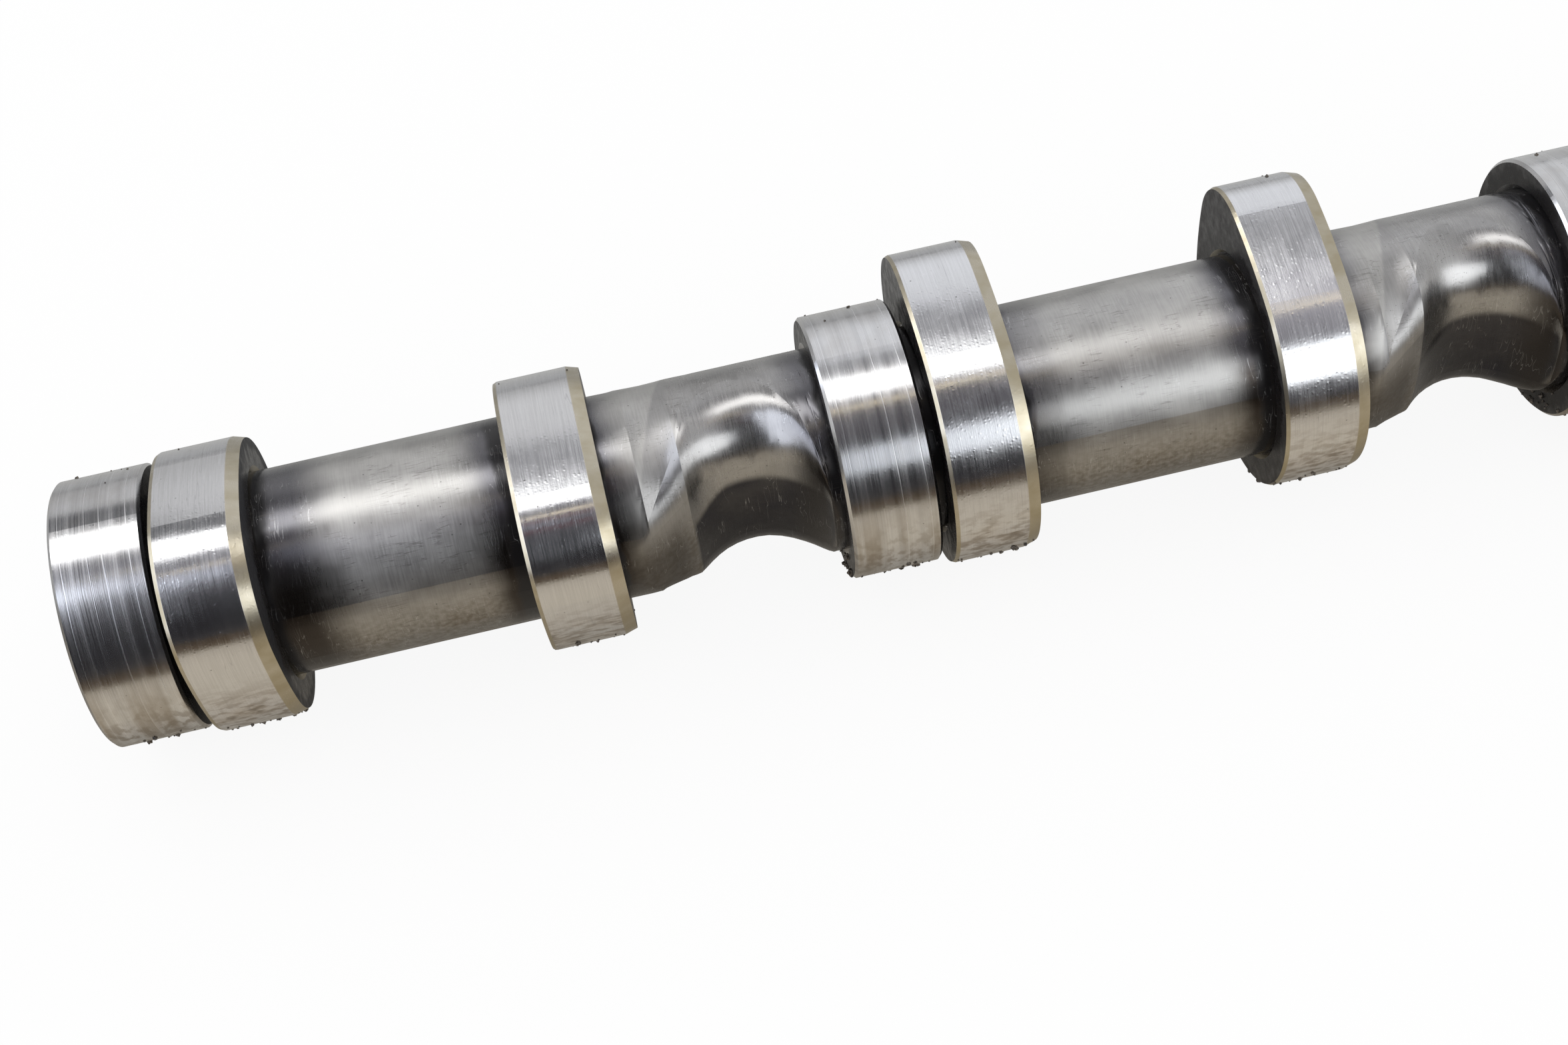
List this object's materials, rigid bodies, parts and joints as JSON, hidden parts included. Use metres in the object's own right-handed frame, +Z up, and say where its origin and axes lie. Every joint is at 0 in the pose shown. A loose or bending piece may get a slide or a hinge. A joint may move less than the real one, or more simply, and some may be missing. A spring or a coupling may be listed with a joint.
{
  "type": "camshaft",
  "caption": "Built-up camshaft: a pressed steel tube with journal rings, cams in pairs, and a plain drive end.",
  "frame": {"origin": "on the shaft's axis, at the middle of the first journal", "axes": "+X along the shaft towards the drive end, +Z up as the shaft comes to rest on a table, -Y towards the saddles"},
  "size_m": [0.3898, 0.0378, 0.0378],
  "materials": {
    "tube_steel": "satin drawn steel, smoky by the rings",
    "journal_steel": "ground, with running marks round it",
    "cam_steel": "ground, with fine marks across the face",
    "turned_steel": "turned"
  },
  "bodies": {
    "root": {"tube": "tube_steel", "end_plug": "turned_steel", "journal_ring_1": "journal_steel", "journal_ring_2": "journal_steel", "journal_ring_3": "journal_steel", "journal_ring_4": "journal_steel", "journal_ring_5": "journal_steel", "cam_1a": "cam_steel", "cam_1b": "cam_steel", "cam_2a": "cam_steel", "cam_2b": "cam_steel", "cam_3a": "cam_steel", "cam_3b": "cam_steel", "cam_4a": "cam_steel", "cam_4b": "cam_steel", "drive_end": "turned_steel", "timing_dowel": "turned_steel"}
  },
  "joints": []
}
